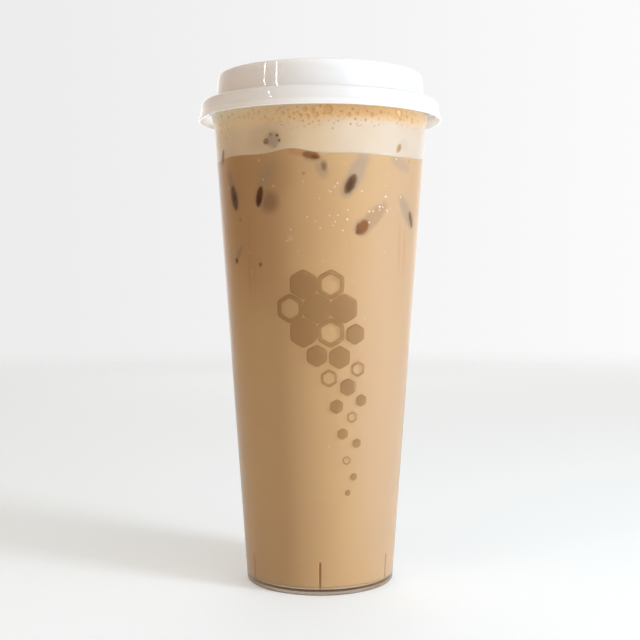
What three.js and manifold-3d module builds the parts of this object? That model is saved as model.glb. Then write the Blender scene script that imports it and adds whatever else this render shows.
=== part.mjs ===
// Iced milk tea in a tall clear cup, with a layer of milk foam, under a white cap lid.
// Millimetres, +Z up. The origin is the middle of the spot the cup stands on, and -Y is the front.

import * as THREE from "three";
import { mergeVertices } from "three/addons/utils/BufferGeometryUtils.js";
import Module from "manifold-3d";

// Driving dimensions, shared
const SIDES = 72; // flats round each turned piece
const GAP = 0.3; // clearance kept between pieces that touch

// Cup: a cone with a rolled rim, standing on a foot ring
const BASE_RADIUS = 29.25; // outside, where the cone meets the ground
const SLOPE = 0.0703; // radius gained for each millimetre of height
const CUP_WALL = 1.0;
const FLOOR_TOP = 2.35;
const FLOOR_UNDERSIDE = 1.35;
const FOOT_WIDTH = 1.5;
const FOOT_ROUND = 0.6;
const RIM_RADIUS = 45.0;
const RIM_TOP = 188.4;
const RIM_ROUND = 1.35; // half the thickness of the rolled rim

// Stacking ribs, low on the inside of the wall
const RIB_COUNT = 6;
const RIB_WIDTH = 0.9;
const RIB_DEPTH = 1.0;
const RIB_TOP = 12.95;

// Lid: a raised cap, a ledge over the cup's rim, and a skirt that flares to a lip
const LID_WALL = 0.8;
const LID_TOP = 200.0;
const CAP_TOP_RADIUS = 40.4;
const CAP_FOOT_RADIUS = 41.4;
const CREST_WIDTH = 2.3;
const CREST_ROUND = 0.8;
const PANEL_DEPTH = 1.8; // how far the top panel lies below the crest
const STEP_RADIUS = 29.0;
const STEP_DROP = 0.4;
const LEDGE_TOP = 189.5;
const LEDGE_ROUND = 1.6;
const SKIRT_TOP_RADIUS = 47.04;
const SKIRT_FOOT_RADIUS = 47.24;
const SKIRT_FOOT = 185.2;
const LIP_RADIUS = 48.25;
const LIP_BOTTOM = 182.27;
const LIP_HEIGHT = 0.5;

// Drink: the level where tea meets foam swells and dips round the wall
const TEA_LEVEL = 165.75;
const SWELLS = [
  { at: -15.5, rise: 1.9, spread: 7.5 },
  { at: -52, rise: 0.7, spread: 14 },
  { at: 19, rise: 0.35, spread: 9 },
  { at: 86, rise: 1.7, spread: 14 },
  { at: 150, rise: -0.7, spread: 16 },
  { at: -124, rise: 1.2, spread: 18 },
  { at: -168, rise: 0.5, spread: 9 },
];
const FOAM_TOP = 184.8;
const FOAM_TOP_SWELL = 0.35;

// Froth: bubbles that stand against the wall in a band at the top of the foam
const FROTH_FOOT = 177.2;
const FROTH_RECESS = 0.5;
const BUBBLE_COUNT = 40;
const BUBBLE_SMALLEST = 0.55;
const BUBBLE_LARGEST = 1.25;
const BUBBLE_FLATTENING = 0.75; // depth of a bubble against its width
const BIG_BUBBLE = { at: 6.1, height: 181.3, width: 2.0, tall: 1.3 };
const FROTH_SEED = 90;

const wasm = await Module();
wasm.setup();

const radians = THREE.MathUtils.degToRad;

// Radius of the cup's outside, and of its inside, at a height
const outerRadius = (z) => BASE_RADIUS + SLOPE * z;
const innerRadius = (z) => outerRadius(z) - CUP_WALL;

// Points of an arc in a profile, from one angle to another, in degrees
function arc(centreR, centreZ, radius, from, to, steps) {
  const points = [];
  for (let i = 0; i <= steps; i++) {
    const angle = radians(from + ((to - from) * i) / steps);
    points.push([centreR + radius * Math.cos(angle), centreZ + radius * Math.sin(angle)]);
  }
  return points;
}

// Turns a profile of [radius, height] about the upright axis; it runs out below and back in above
function turned(profile) {
  const points = profile.map(([r, z]) => new THREE.Vector2(r, z));
  return new THREE.LatheGeometry(points, SIDES).rotateX(Math.PI / 2);
}

function solidOf(geometry) {
  const bare = geometry.clone();
  bare.deleteAttribute("normal");
  bare.deleteAttribute("uv");
  const merged = mergeVertices(bare, 1e-4);
  const vertProperties = new Float32Array(merged.attributes.position.array);
  const triVerts = new Uint32Array(merged.index.array);
  return new wasm.Manifold(new wasm.Mesh({ numProp: 3, vertProperties, triVerts }));
}

function geometryOf(solid) {
  const { vertProperties, triVerts } = solid.getMesh();
  const geometry = new THREE.BufferGeometry();
  geometry.setAttribute("position", new THREE.BufferAttribute(vertProperties, 3));
  geometry.setIndex(new THREE.BufferAttribute(triVerts, 1));
  geometry.computeVertexNormals();
  return geometry;
}

// One rib, growing out of the wall and the floor, with a rounded top; extra widens it on all sides
function rib(angle, extra) {
  const root = CUP_WALL / 2;
  const foot = FLOOR_TOP - root;
  const top = RIB_TOP + extra;
  const depth = RIB_DEPTH + extra;
  const shape = new THREE.Shape();
  shape.moveTo(innerRadius(foot) + root, foot);
  shape.lineTo(innerRadius(top) + root, top);
  shape.lineTo(innerRadius(top), top);
  shape.quadraticCurveTo(innerRadius(top) - depth, top, innerRadius(top) - depth, top - depth);
  shape.lineTo(innerRadius(foot) - depth, foot);
  const width = RIB_WIDTH + 2 * extra;
  const plate = new THREE.ExtrudeGeometry(shape, { depth: width, bevelEnabled: false, curveSegments: 4 });
  plate.translate(0, 0, -width / 2).rotateX(Math.PI / 2);
  return solidOf(plate.rotateZ(radians(angle - 90)));
}

function ribs(extra) {
  const all = [];
  for (let i = 0; i < RIB_COUNT; i++) all.push(rib((360 * i) / RIB_COUNT, extra));
  return all;
}

function cup() {
  const footOuter = outerRadius(FOOT_ROUND) - FOOT_ROUND;
  const footInner = footOuter - FOOT_WIDTH;
  const rimMiddle = RIM_TOP - RIM_ROUND;
  const neck = rimMiddle - 2 * RIM_ROUND;
  const profile = [
    [0, FLOOR_UNDERSIDE],
    [footInner - FLOOR_UNDERSIDE, FLOOR_UNDERSIDE],
    [footInner, 0],
    ...arc(footOuter, FOOT_ROUND, FOOT_ROUND, -90, 0, 3),
    [outerRadius(neck), neck],
    ...arc(RIM_RADIUS - RIM_ROUND, rimMiddle, RIM_ROUND, -100, 90, 5),
    ...arc(innerRadius(rimMiddle) + RIM_ROUND, rimMiddle, RIM_ROUND, 90, 180, 3),
    [innerRadius(neck), neck],
    [innerRadius(FLOOR_TOP + FOOT_ROUND), FLOOR_TOP + FOOT_ROUND],
    [innerRadius(FLOOR_TOP) - FOOT_ROUND, FLOOR_TOP],
    [0, FLOOR_TOP],
  ];
  const shell = solidOf(turned(profile));
  return geometryOf(wasm.Manifold.union([shell, ...ribs(0)]));
}

function lid() {
  const panelTop = LID_TOP - PANEL_DEPTH;
  const panelUnder = panelTop - LID_WALL;
  const crestInner = CAP_TOP_RADIUS - CREST_WIDTH;
  const stepTop = panelTop - STEP_DROP;
  const stepUnder = panelUnder - STEP_DROP;
  const innerRound = LEDGE_ROUND - LID_WALL;
  const ledgeMiddle = LEDGE_TOP - LEDGE_ROUND;
  const lipTop = LIP_BOTTOM + LIP_HEIGHT;
  const profile = [
    [0, stepUnder],
    [STEP_RADIUS, stepUnder],
    [STEP_RADIUS + STEP_DROP, panelUnder],
    [CAP_TOP_RADIUS - LID_WALL, panelUnder],
    [CAP_FOOT_RADIUS - LID_WALL, LEDGE_TOP - LID_WALL],
    ...arc(SKIRT_TOP_RADIUS - LEDGE_ROUND, ledgeMiddle, innerRound, 90, 0, 2),
    [SKIRT_FOOT_RADIUS - LID_WALL, SKIRT_FOOT],
    [LIP_RADIUS - LID_WALL, LIP_BOTTOM],
    [LIP_RADIUS - LIP_HEIGHT / 2, LIP_BOTTOM],
    [LIP_RADIUS, LIP_BOTTOM + LIP_HEIGHT / 2],
    [LIP_RADIUS - LIP_HEIGHT / 4, lipTop],
    [SKIRT_FOOT_RADIUS, SKIRT_FOOT],
    ...arc(SKIRT_TOP_RADIUS - LEDGE_ROUND, ledgeMiddle, LEDGE_ROUND, 0, 90, 3),
    [CAP_FOOT_RADIUS + LID_WALL, LEDGE_TOP],
    [CAP_FOOT_RADIUS, LEDGE_TOP + LID_WALL],
    ...arc(CAP_TOP_RADIUS - CREST_ROUND, LID_TOP - CREST_ROUND, CREST_ROUND, 0, 90, 3),
    ...arc(crestInner + CREST_ROUND, LID_TOP - CREST_ROUND, CREST_ROUND, 90, 180, 1),
    [crestInner, panelTop],
    [STEP_RADIUS + STEP_DROP, panelTop],
    [STEP_RADIUS, stepTop],
    [0, stepTop],
  ];
  return turned(profile);
}

// How far the tea's surface stands above its level at an angle round the cup
function swell(angle) {
  let rise = 0;
  for (const wave of SWELLS) {
    const away = Math.cos(angle - radians(wave.at)) - 1;
    rise += wave.rise * Math.exp(away / radians(wave.spread) ** 2);
  }
  return rise;
}

// Gives the flat face at the tea's level its swells, which die out towards the middle,
// and follows the cup's slope where they meet the wall
function ripple(geometry, face) {
  const position = geometry.attributes.position;
  const edge = innerRadius(face) - GAP;
  for (let i = 0; i < position.count; i++) {
    if (Math.abs(position.getZ(i) - face) > 1e-3) continue;
    const x = position.getX(i);
    const y = position.getY(i);
    const rise = swell(Math.atan2(x, -y)) * (Math.hypot(x, y) / edge) ** 2;
    const spread = 1 + (SLOPE * rise) / edge;
    position.setXYZ(i, x * spread, y * spread, face + rise);
  }
  return geometry;
}

// Points across a face of the drink, from its edge to the axis
function acrossFace(edge, z) {
  return [edge, edge * 0.8, edge * 0.45, 0].map((r) => [r, z]);
}

function milkTea() {
  const bottom = FLOOR_TOP + GAP;
  const top = TEA_LEVEL - GAP / 2;
  const profile = [
    [0, bottom],
    [innerRadius(bottom) - GAP - FOOT_ROUND, bottom],
    [innerRadius(bottom + FOOT_ROUND) - GAP, bottom + FOOT_ROUND],
    ...acrossFace(innerRadius(top) - GAP, top),
  ];
  const body = solidOf(ripple(turned(profile), top));
  return geometryOf(body.subtract(wasm.Manifold.union(ribs(GAP))));
}

// Repeatable draws between 0 and 1
function* draws(seed) {
  let state = seed;
  while (true) {
    state = (state * 16807) % 2147483647;
    yield state / 2147483647;
  }
}

// One bubble, flattened, whose outermost point just reaches the foam's own clearance from the wall
function bubble(at, height, width, tall) {
  const depth = tall * BUBBLE_FLATTENING;
  const ball = new THREE.IcosahedronGeometry(1, 1).scale(width, depth, tall);
  ball.translate(0, depth - (innerRadius(height) - GAP), height);
  return solidOf(ball.rotateZ(radians(at)));
}

function froth() {
  const draw = draws(FROTH_SEED);
  const next = () => draw.next().value;
  const bubbles = [bubble(BIG_BUBBLE.at, BIG_BUBBLE.height, BIG_BUBBLE.width, BIG_BUBBLE.tall)];
  for (let i = 0; i < BUBBLE_COUNT; i++) {
    const at = (360 * (i + next())) / BUBBLE_COUNT;
    const size = BUBBLE_SMALLEST + (BUBBLE_LARGEST - BUBBLE_SMALLEST) * next() ** 2;
    const height = FROTH_FOOT + size + (FOAM_TOP - FROTH_FOOT - 2 * size) * next();
    bubbles.push(bubble(at, height, size, size));
  }
  return bubbles;
}

function milkFoam() {
  const bottom = TEA_LEVEL + GAP / 2;
  const recessed = innerRadius(FOAM_TOP) - GAP - FROTH_RECESS;
  const profile = [
    ...acrossFace(innerRadius(bottom) - GAP, bottom).reverse(),
    [innerRadius(FROTH_FOOT) - GAP, FROTH_FOOT],
    [innerRadius(FROTH_FOOT + 1) - GAP - FROTH_RECESS, FROTH_FOOT + 1],
    [recessed, FOAM_TOP - FROTH_RECESS],
    [recessed - FROTH_RECESS, FOAM_TOP],
    [recessed * 0.75, FOAM_TOP - FOAM_TOP_SWELL],
    [recessed * 0.35, FOAM_TOP - FOAM_TOP_SWELL / 3],
    [0, FOAM_TOP - FOAM_TOP_SWELL],
  ];
  const body = solidOf(ripple(turned(profile), bottom));
  return geometryOf(wasm.Manifold.union([body, ...froth()]));
}

function piece(name, geometry, finish) {
  const mesh = new THREE.Mesh(geometry, new THREE.MeshStandardMaterial(finish));
  mesh.name = name;
  return mesh;
}

const drink = new THREE.Group();
drink.add(
  piece("cup", cup(), {
    color: 0xe9e6e1, roughness: 0.12, metalness: 0, transparent: true, opacity: 0.3,
  }),
  piece("lid", lid(), { color: 0xf3f3f1, roughness: 0.22, metalness: 0 }),
  piece("milk_tea", milkTea(), { color: 0xc99e70, roughness: 0.5, metalness: 0 }),
  piece("milk_foam", milkFoam(), { color: 0xe6cfac, roughness: 0.6, metalness: 0 }),
);

export default drink;
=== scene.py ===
import bpy
import numpy as np
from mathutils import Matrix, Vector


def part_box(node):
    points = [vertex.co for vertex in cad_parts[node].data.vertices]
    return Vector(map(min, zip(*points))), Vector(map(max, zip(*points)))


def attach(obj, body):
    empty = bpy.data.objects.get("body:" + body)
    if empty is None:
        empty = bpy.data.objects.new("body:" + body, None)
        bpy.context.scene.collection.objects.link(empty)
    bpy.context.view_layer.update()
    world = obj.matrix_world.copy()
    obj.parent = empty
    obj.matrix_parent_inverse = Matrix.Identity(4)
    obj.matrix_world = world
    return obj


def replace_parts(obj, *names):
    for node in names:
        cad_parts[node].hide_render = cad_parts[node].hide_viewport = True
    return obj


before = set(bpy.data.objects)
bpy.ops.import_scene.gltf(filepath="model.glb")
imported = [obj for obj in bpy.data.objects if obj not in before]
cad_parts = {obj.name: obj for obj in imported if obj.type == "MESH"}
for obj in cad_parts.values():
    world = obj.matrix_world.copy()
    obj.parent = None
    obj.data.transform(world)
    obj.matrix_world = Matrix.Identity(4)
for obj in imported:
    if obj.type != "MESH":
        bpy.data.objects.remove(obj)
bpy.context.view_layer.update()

# Cup
# A tall cone of clear polypropylene, moulded in one piece with its foot ring, its rolled rim and six
# stacking ribs low on the inside. The outside is a little matt, which veils the drink behind it.
MM = 0.001
cup_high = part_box("cup")[1]
BASE_RADIUS = 29.25 * MM
SLOPE = 0.0703
CUP_WALL = 1.0 * MM
FLOOR_TOP = 2.35 * MM
FLOOR_UNDERSIDE = 1.35 * MM
FOOT_WIDTH = 1.5 * MM
FOOT_ROUND = 0.6 * MM
RIM_RADIUS = cup_high.x
RIM_TOP = cup_high.z
RIM_ROUND = 1.35 * MM
RIB_ANGLES = np.radians(np.arange(6) * 60.0)
RIB_WIDTH = 0.9 * MM
RIB_DEPTH = 1.0 * MM
RIB_TOP = 12.95 * MM
RIB_EDGE = 0.1 * MM
CUP_COLUMNS = 288


def outer_radius(z):
    """The cone of the cup's outside: radius grows evenly with height."""
    return BASE_RADIUS + SLOPE * z


def inner_radius(z):
    return outer_radius(z) - CUP_WALL


def arc(centre_r, centre_z, radius, start, stop, steps):
    """A circle's arc in a profile: centre plus radius times (cos, sin), from start to stop degrees."""
    angle = np.radians(np.linspace(start, stop, steps + 1))
    return np.stack([centre_r + radius * np.cos(angle), centre_z + radius * np.sin(angle)], 1)


def line(start, stop, steps):
    """Evenly spaced points of a profile from start to stop, without the last one."""
    share = np.arange(steps)[:, None] / steps
    return np.array(start) * (1 - share) + np.array(stop) * share


def smoothstep(low, high, x):
    """Rises from 0 at low to 1 at high, level at both ends: t squared times (3 - 2t)."""
    t = np.clip((x - low) / (high - low), 0, 1)
    return t * t * (3 - 2 * t)


def turn(radius, height, angle):
    """Points round the upright axis: (r sin a, -r cos a, z), so that angle 0 is the front, -Y."""
    return np.stack(np.broadcast_arrays(radius * np.sin(angle), -radius * np.cos(angle), height), -1)


def angle_from(a, centre):
    """The angle a counted from centre, from minus pi to pi."""
    return (a - centre + np.pi) % (2 * np.pi) - np.pi


def make_piece(name, points, faces, material, slot):
    """A mesh object on the object's one body, smooth shaded, from points and a list of face arrays."""
    mesh = bpy.data.meshes.new(name)
    mesh.from_pydata(points.tolist(), [], [f for block in faces for f in block.tolist()])
    mesh.polygons.foreach_set("use_smooth", [True] * len(mesh.polygons))
    mesh.materials.append(material)
    piece = bpy.data.objects.new(name, mesh)
    bpy.context.scene.collection.objects.link(piece)
    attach(piece, "root")
    return piece


def ring_faces(rows, columns):
    """Quads between neighbouring rings of points, each ring closed on itself."""
    at = np.arange(rows * columns).reshape(rows, columns)
    after = np.roll(at, -1, axis=1)
    return np.stack([at[:-1], after[:-1], after[1:], at[1:]], -1).reshape(-1, 4)


def fan(tip, ring):
    """Triangles from a tip to each edge of a closed ring of points."""
    return np.stack([np.full(len(ring), tip), ring, np.roll(ring, -1)], -1)


def closed_skin(grid):
    """Points and faces of a closed skin from a grid of rings, (rows, columns, 3). The first and the last
    row are single points, joined to their neighbours by triangles."""
    rows, columns = grid.shape[:2]
    points = np.concatenate([grid[1:-1].reshape(-1, 3), grid[0, :1], grid[-1, :1]])
    low = np.arange(columns)
    high = low + (rows - 3) * columns
    tip = len(points) - 2
    return points, [ring_faces(rows - 2, columns), fan(tip, low)[:, ::-1], fan(tip + 1, high)]


def turned_piece(name, radius, height, angle, material, slot):
    """A piece from rings round the upright axis: radius and height are (rows, columns)."""
    return make_piece(name, *closed_skin(turn(radius, height, angle)), material, slot)


class Value:
    """One shader value: arithmetic on it adds the Math nodes that work it out."""

    def __init__(self, nodes, socket):
        self.nodes = nodes
        self.socket = socket

    def math(self, operation, *others):
        return self.nodes.node("ShaderNodeMath", {"operation": operation}, dict(enumerate((self, *others))))

    def __add__(self, other):
        return self.math("ADD", other)

    def __sub__(self, other):
        return self.math("SUBTRACT", other)

    def __rsub__(self, other):
        return (self * -1) + other

    def __mul__(self, other):
        return self.math("MULTIPLY", other)

    def __pow__(self, other):
        return self.math("POWER", other)

    __radd__ = __add__
    __rmul__ = __mul__

    def between(self, low, high):
        """0 below low, 1 above high and smooth in between."""
        settings = {"interpolation_type": "SMOOTHSTEP"}
        return self.nodes.node("ShaderNodeMapRange", settings, {0: self, 1: low, 2: high})


class Nodes:
    """A node tree in the making, with its output node."""

    def __init__(self, tree, output):
        self.tree = tree
        self.tree.nodes.clear()
        self.output = self.tree.nodes.new(output)

    def node(self, kind, settings, sockets, output=0):
        """Adds one node: its settings first, then the values or links of its sockets."""
        made = self.tree.nodes.new(kind)
        for key, value in settings.items():
            setattr(made, key, value)
        for key, value in sockets.items():
            self.feed(made.inputs[key], value)
        return Value(self, made.outputs[output])

    def feed(self, socket, value):
        if isinstance(value, Value):
            self.tree.links.new(value.socket, socket)
        else:
            socket.default_value = value

    def show(self, shader):
        self.feed(self.output.inputs["Surface"], shader)

    def mix(self, factor, first, second, blend="MIX"):
        """A colour between first and second."""
        settings = {"data_type": "RGBA", "blend_type": blend}
        return self.node("ShaderNodeMix", settings, {0: factor, 6: first, 7: second}, 2)


class Finish(Nodes):
    """A material in the making, with its Principled shader."""

    def __init__(self, name, **constants):
        self.material = bpy.data.materials.new(name)
        self.material.use_nodes = True
        super().__init__(self.material.node_tree, "ShaderNodeOutputMaterial")
        self.shader = self.node("ShaderNodeBsdfPrincipled", {}, constants)
        self.show(self.shader)

    def set(self, name, value):
        self.feed(self.shader.socket.node.inputs[name], value)

    def noise(self, scale, detail=2.0, stretch=(1, 1, 1)):
        """Noise on object coordinates, with scale in waves per metre, stretched along the axes."""
        place = self.node("ShaderNodeTexCoord", {}, {}, "Object")
        placed = self.node("ShaderNodeMapping", {}, {"Vector": place, "Scale": stretch})
        return self.node("ShaderNodeTexNoise", {}, {"Vector": placed, "Scale": scale, "Detail": detail})

    def height(self):
        """Object height, in metres."""
        place = self.node("ShaderNodeTexCoord", {}, {}, "Object")
        return self.node("ShaderNodeSeparateXYZ", {}, {0: place}, "Z")

    def attribute(self, name, output="Fac"):
        return self.node("ShaderNodeAttribute", {"attribute_name": name}, {}, output)

    def relief(self, height, depth):
        """Bump: height 0 to 1 stands for a depth in metres."""
        self.set("Normal", self.node("ShaderNodeBump", {}, {"Height": height, "Distance": depth}))

    def lets_lamps_through(self, tint, share=1.0):
        """Lamps shine through unbent with a tint, or a share of their light does, and light the inside."""
        ray = self.node("ShaderNodeLightPath", {}, {}, "Is Shadow Ray") * share
        clear = self.node("ShaderNodeBsdfTransparent", {}, {"Color": tint})
        self.show(self.node("ShaderNodeMixShader", {}, {0: ray, 1: self.shader, 2: clear}))


def clear_plastic():
    """Polypropylene with a faint milky veil, fine vertical draw lines and a slightly matt outside; its foot
    is tinted warm and dark, a painted shade.
    """
    finish = Finish("clear_plastic", **{
        "Roughness": 0.27, "IOR": 1.49, "Specular Tint": (0.35, 0.34, 0.32, 1), "Transmission Weight": 1.0,
    })
    # Painted shade: from the cup's floor down, the plastic's colour turns warm and dark.
    foot = 1 - finish.height().between(FLOOR_UNDERSIDE, FLOOR_TOP + 0.6 * MM)
    finish.set("Base Color", finish.mix(foot, (0.97, 0.965, 0.955, 1), (0.80, 0.71, 0.62, 1)))
    draw = finish.noise(900, 3, (1, 1, 0.012))
    grain = finish.noise(2600, 2)
    finish.relief(draw * 0.6 + grain * 0.4, 0.03 * MM)
    finish.lets_lamps_through((0.97, 0.965, 0.96, 1))
    return finish.material


def rib_mask(angle, margin):
    """1 on a stacking rib and 0 beside it; margin makes each rib wider, or narrower."""
    away = np.min([abs(angle_from(angle, a)) for a in RIB_ANGLES], axis=0) * inner_radius(RIB_TOP / 2)
    half = RIB_WIDTH / 2 + margin
    return 1 - smoothstep(half - RIB_EDGE, half + RIB_EDGE, away)


def rib_height(z):
    """How far a rib stands out at a height, from 1 on its length to 0 above its rounded top."""
    return np.sqrt(np.clip(1 - np.clip((z - RIB_TOP + RIB_DEPTH) / RIB_DEPTH, 0, 1) ** 2, 0, 1))


def ribbed_angles(columns):
    """Angles round the cup, with extra ones close to each side of each rib."""
    beside = np.array([0.18, 0.3, 0.4, 0.5, 0.62, 0.8]) * MM / BASE_RADIUS
    sides = np.concatenate([-beside[::-1], beside])
    even = np.arange(columns) * 2 * np.pi / columns
    extra = (RIB_ANGLES[:, None] + sides).ravel() % (2 * np.pi)
    return np.sort(np.concatenate([even, extra]))


def build_cup():
    foot_outer = outer_radius(FOOT_ROUND) - FOOT_ROUND
    foot_inner = foot_outer - FOOT_WIDTH
    rim_middle = RIM_TOP - RIM_ROUND
    neck = rim_middle - 2 * RIM_ROUND
    corner = FLOOR_TOP + FOOT_ROUND
    floor_edge = inner_radius(FLOOR_TOP) - FOOT_ROUND - RIB_DEPTH
    inside = np.concatenate([
        line((inner_radius(neck), neck), (inner_radius(corner), corner), 60),
        arc(inner_radius(FLOOR_TOP) - FOOT_ROUND, corner, FOOT_ROUND, 0, -90, 5),
        line((floor_edge, FLOOR_TOP), (0, FLOOR_TOP), 5),
        [(0, FLOOR_TOP)],
    ])
    profile = np.concatenate([
        line((0, FLOOR_UNDERSIDE), (foot_inner - FLOOR_UNDERSIDE, FLOOR_UNDERSIDE), 6),
        arc(foot_inner - FLOOR_UNDERSIDE, FLOOR_UNDERSIDE / 2, FLOOR_UNDERSIDE / 2, 90, 0, 5),
        arc(foot_inner, FOOT_ROUND / 3, FOOT_ROUND / 3, 180, 270, 4),
        arc(foot_outer, FOOT_ROUND, FOOT_ROUND, -90, 0, 6),
        line((outer_radius(2 * MM), 2 * MM), (outer_radius(neck), neck), 40),
        arc(RIM_RADIUS - RIM_ROUND, rim_middle, RIM_ROUND, -100, 90, 16),
        arc(inner_radius(rim_middle) + RIM_ROUND, rim_middle, RIM_ROUND, 90, 180, 8),
        inside,
    ])
    angle = ribbed_angles(CUP_COLUMNS)
    radius = np.repeat(profile[:, :1], len(angle), axis=1)
    height = np.repeat(profile[:, 1:], len(angle), axis=1)
    on_inside = (np.arange(len(profile)) >= len(profile) - len(inside))[:, None]
    on_wall = on_inside & (radius > floor_edge + RIB_DEPTH * 0.9)
    radius = radius - on_wall * RIB_DEPTH * rib_mask(angle, 0) * rib_height(height)
    return turned_piece("cup_shell", radius, height, angle, clear_plastic(), "cup_plastic")


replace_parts(build_cup(), "cup")

# Milk tea
# The opaque, milky drink up to the wavy line where the foam starts. It wets the cup's wall, so its skin
# lies just inside the plastic. Where ice presses on the wall, the milk thins out and dark tea shows.
WETTED = 0.15 * MM
TEA_COLUMNS = 560
TEA_LEVEL = 165.75 * MM
SWELLS = [(-15.5, 1.9, 7.5), (-52, 0.7, 14), (19, 0.35, 9), (86, 1.7, 14), (150, -0.7, 16), (-124, 1.2, 18),
          (-168, 0.5, 9)]
TEA_COLOUR = (0.573, 0.362, 0.179)


def tea_level(angle):
    """Height of the line between tea and foam at the wall: a level plus smooth swells, each one its rise
    times exp((cos(angle - place) - 1) / spread squared)."""
    rise = 0
    for at, swell, spread in SWELLS:
        rise = rise + swell * MM * np.exp((np.cos(angle - np.radians(at)) - 1) / np.radians(spread) ** 2)
    return TEA_LEVEL + rise


# A mark on the drink is a soft oval: its two ends as (angle in degrees, height), its half width, the
# softness of its edge, its colour and its cover. Heights and widths are in millimetres.
BLACK, SLATE = (0.047, 0.017, 0.004), (0.174, 0.085, 0.042)
COFFEE, UMBER, AMBER = (0.133, 0.039, 0.007), (0.265, 0.108, 0.033), (0.250, 0.085, 0.013)
HALO, GREY_MILK = (0.407, 0.283, 0.175), (0.436, 0.297, 0.168)
PALE_GREY, WARM_MILK = (0.423, 0.313, 0.213), (0.441, 0.282, 0.156)
DROP, STREAK, PALE_STREAK = (0.665, 0.475, 0.318), (0.476, 0.275, 0.117), (0.498, 0.290, 0.127)
# The dark edge that each block of ice presses against the wall. All have the same cover.
ICE_EDGES = [
    (-33.4, 154.3, -36.2, 146.8, 1.45, 0.35, COFFEE), (-57, 155.4, -54, 146.2, 2, 0.8, SLATE),
    (18.9, 158.2, 13.9, 151.2, 1.8, 0.65, (0.153, 0.073, 0.026)), (27, 141.4, 20.9, 136.6, 2.1, 0.7, AMBER),
    (-9.2, 165.5, 0, 164.3, 1.35, 0.45, UMBER), (60.6, 145.6, 66.4, 140, 1.3, 0.5, (0.19, 0.088, 0.038)),
    (96, 158, 101, 150.5, 1.5, 0.5, UMBER), (130.5, 146.5, 133, 138.5, 1.6, 0.6, SLATE),
    (160, 156.5, 154.5, 150.5, 1.8, 0.6, UMBER), (182, 141.5, 187, 134.5, 1.8, 0.6, AMBER),
    (207.5, 160, 203, 151.5, 1.35, 0.4, COFFEE), (221.5, 144.5, 215, 140, 1.8, 0.6, AMBER),
    (243, 157.5, 247, 149.5, 1.6, 0.6, SLATE), (262.5, 138.5, 256.5, 134, 1.4, 0.6, UMBER),
]
# Wide soft marks of painted light and shade: painted light down both sides, darker towards the upper
# left, and a painted shadow beside the ice at the front left.
PAINTED_LIGHT_AND_SHADE = [
    # Painted light: lighter milk down the left side, and a paler, cooler painted sheen down the right side.
    (-64, 175, -64, 5, 15, 12, (0.692, 0.462, 0.213), 0.9),
    (52, 175, 52, 5, 17, 14, (0.573, 0.383, 0.23), 0.9),
    # Darker towards the upper left and at the top front left.
    (-50, 172, -33, 112, 16, 12, (0.508, 0.297, 0.137), 0.6),
    (-31, 164.5, -16.5, 154.5, 8, 6, (0.466, 0.281, 0.124), 0.6),
    # Painted shadow beside the ice at the front left.
    (-33.4, 147.6, -23.8, 149.4, 3.7, 2.2, (0.3, 0.168, 0.082), 0.85),
]
# Where a block comes near the wall beside its edge, thin milk looks grey.
MILK_VEILS = [
    (-33.4, 154, -25.8, 162, 2.3, 1.8, GREY_MILK, 0.85), (-60, 161.5, -56, 153.6, 1.9, 1.3, GREY_MILK, 0.8),
    (17, 154.2, 22.4, 164, 3.1, 1.3, PALE_GREY, 0.8), (22.4, 161, 24.6, 167, 2.6, 1.3, PALE_GREY, 0.7),
    (15.6, 154.6, 12.6, 149.6, 2.3, 1, HALO, 0.7), (23.4, 138, 37.4, 147.4, 2.9, 0.9, WARM_MILK, 0.9),
    (37, 149.4, 39.6, 145.2, 1, 0.6, WARM_MILK, 0.6), (49.6, 151.2, 65.6, 139.8, 2.5, 1.1, PALE_GREY, 0.85),
    (41, 165, 57, 161.2, 2.2, 1.4, PALE_GREY, 0.62),
    (-17.4, 166.9, -5, 165.5, 1.5, 1, (0.466, 0.234, 0.089), 0.65),
    (-6.4, 166.9, -0.8, 166.2, 0.5, 0.5, SLATE, 0.6), (-0.4, 164.4, 2.4, 156.8, 2.3, 1.2, GREY_MILK, 0.8),
    (1.9, 162.6, 2.1, 159.4, 1, 0.9, (0.255, 0.137, 0.074), 0.95),
    (-51, 132.4, -57, 127.4, 1.2, 0.7, GREY_MILK, 0.9), (-64.6, 169.6, -68.4, 164, 1.3, 0.7, SLATE, 0.75),
    (97, 150.6, 87, 144.6, 2.3, 1.3, GREY_MILK, 0.8), (132.6, 146.4, 144, 153, 2.3, 1.4, GREY_MILK, 0.8),
    (153.6, 151.4, 149.6, 164, 2.8, 1.5, WARM_MILK, 0.8),
    (186.6, 136.6, 200, 130.4, 2.4, 1.3, GREY_MILK, 0.8),
    (207.4, 158.4, 218, 165, 2.2, 1.2, GREY_MILK, 0.8),
    (221.4, 143.4, 233, 150.6, 2.7, 1.3, WARM_MILK, 0.82),
    (243.6, 155.4, 253, 162, 2.2, 1.2, GREY_MILK, 0.75), (168, 165.2, 182, 164.2, 1.3, 0.6, AMBER, 0.75),
]
# Drops of milk on the wall, and faint streaks where they ran down.
DROPS_AND_STREAKS = [
    (-17.2, 135.3, -16.2, 134.5, 0.9, 0.5, DROP, 0.6), (-43.4, 123.6, -42.8, 121.8, 0.6, 0.4, DROP, 0.45),
    (-30.9, 115.6, -30.3, 114.8, 0.7, 0.4, DROP, 0.4), (-43.1, 146, -45.9, 112, 0.7, 0.7, STREAK, 0.35),
    (-39.7, 144, -42.4, 108, 0.5, 0.5, STREAK, 0.3), (51.3, 141.5, 52.6, 124, 0.7, 0.6, PALE_STREAK, 0.35),
    (56.8, 140, 58.2, 121, 0.7, 0.6, PALE_STREAK, 0.35),
    (16.1, 141, 17.1, 122.5, 0.8, 0.7, (0.557, 0.345, 0.15), 0.45),
    (-71, 150, -74, 96, 0.9, 0.8, STREAK, 0.35),
]
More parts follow.
